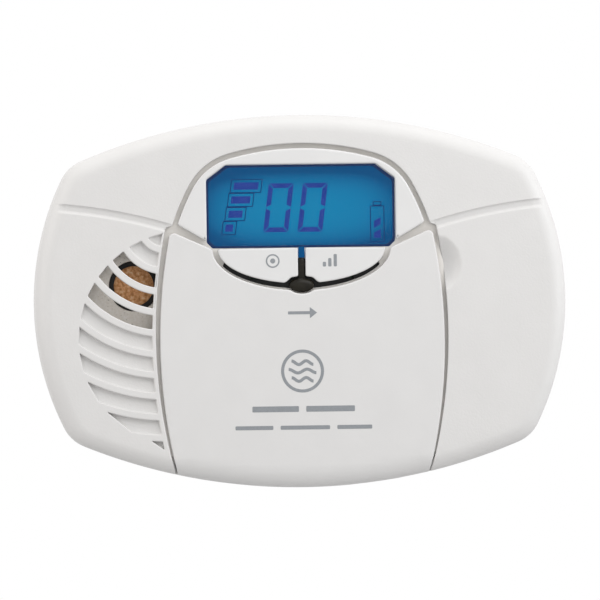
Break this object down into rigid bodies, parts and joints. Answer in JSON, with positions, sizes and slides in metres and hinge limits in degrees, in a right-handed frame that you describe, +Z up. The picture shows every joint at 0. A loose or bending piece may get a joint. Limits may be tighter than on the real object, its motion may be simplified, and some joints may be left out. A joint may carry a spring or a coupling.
{
  "type": "carbon monoxide detector",
  "caption": "Wall-hung battery-powered carbon monoxide alarm: cushion-shaped case, backlit display, push buttons, hinged battery door and louvred horn.",
  "frame": {"origin": "centre of the back face, in the plane that lies against the wall", "axes": "+Y into the wall, -Y out of the front, +X to the viewer's right, +Z up"},
  "size_m": [0.146, 0.0379, 0.1024],
  "materials": {
    "case_plastic": "fine moulded texture",
    "door_plastic": "satin",
    "gloss_plastic": "polished",
    "inner_plastic": "moulded",
    "black_plastic": "matt",
    "smoked_lens": "polished, smoked",
    "window": "clear, over a blue backlit display",
    "display": "blue, backlit",
    "light_guide": "frosted",
    "board": "solder mask over glass laminate",
    "component": "moulded",
    "connector": "moulded",
    "steel": "zinc plated",
    "nickel": "nickel plated",
    "brass": "stained",
    "ceramic": "fired, silvered",
    "horn_plastic": "moulded",
    "rubber": "matt",
    "cell_sleeve": "shrink sleeve",
    "label": "plain printed film",
    "red_sleeve": "lead insulation",
    "black_sleeve": "lead insulation",
    "indicator": "tinted"
  },
  "bodies": {
    "case": {"battery_cell_1": "cell_sleeve", "battery_cell_2": "cell_sleeve", "battery_connector": "connector", "battery_lead_black": "black_sleeve", "battery_lead_red": "red_sleeve", "battery_link_plate": "nickel", "battery_negative_plate": "nickel", "battery_positive_plate": "nickel", "battery_spring_1": "nickel", "battery_spring_2": "nickel", "battery_tray": "inner_plastic", "board_screw_1": "steel", "board_screw_2": "steel", "board_screw_3": "steel", "board_screw_4": "steel", "co_sensor_body": "connector", "co_sensor_cap": "component", "crystal": "nickel", "display_bezel": "gloss_plastic", "display_frame": "black_plastic", "display_panel": "display", "display_window": "window", "driver_transistor": "component", "filter_capacitor": "cell_sleeve", "front_shell": "case_plastic", "horn_back_cap": "component", "horn_ceramic": "ceramic", "horn_connector": "connector", "horn_disc": "brass", "horn_housing": "horn_plastic", "horn_inductor": "component", "horn_lead_black": "black_sleeve", "horn_lead_red": "red_sleeve", "horn_seal": "rubber", "housing_screw_1": "steel", "housing_screw_2": "steel", "housing_screw_3": "steel", "housing_screw_4": "steel", "light_guide": "light_guide", "lower_contact_strip": "rubber", "main_board": "board", "memory_chip": "component", "microcontroller": "component", "peak_switch": "component", "rear_housing": "case_plastic", "rear_label": "label", "reservoir_capacitor": "cell_sleeve", "status_light": "indicator", "status_light_lens": "smoked_lens", "test_switch": "component", "upper_contact_strip": "rubber"},
    "battery_door": {"battery_door": "door_plastic"},
    "test_button": {"test_button": "gloss_plastic", "test_switch_plunger": "steel"},
    "peak_button": {"peak_button": "gloss_plastic", "peak_switch_plunger": "steel"}
  },
  "joints": [
    {"name": "battery_door_hinge", "type": "hinge", "parent": "case", "child": "battery_door", "pos_m": [-0.045, -0.0324, -0.022], "axis": [0, 0, -1], "range_deg": [0, 90]},
    {"name": "test_button_press", "type": "slide", "parent": "case", "child": "test_button", "axis": [0, 1, 0], "range_m": [0, 0.0005], "stiffness_N_per_m": 2000},
    {"name": "peak_button_press", "type": "slide", "parent": "case", "child": "peak_button", "axis": [0, 1, 0], "range_m": [0, 0.0005], "stiffness_N_per_m": 2000}
  ]
}
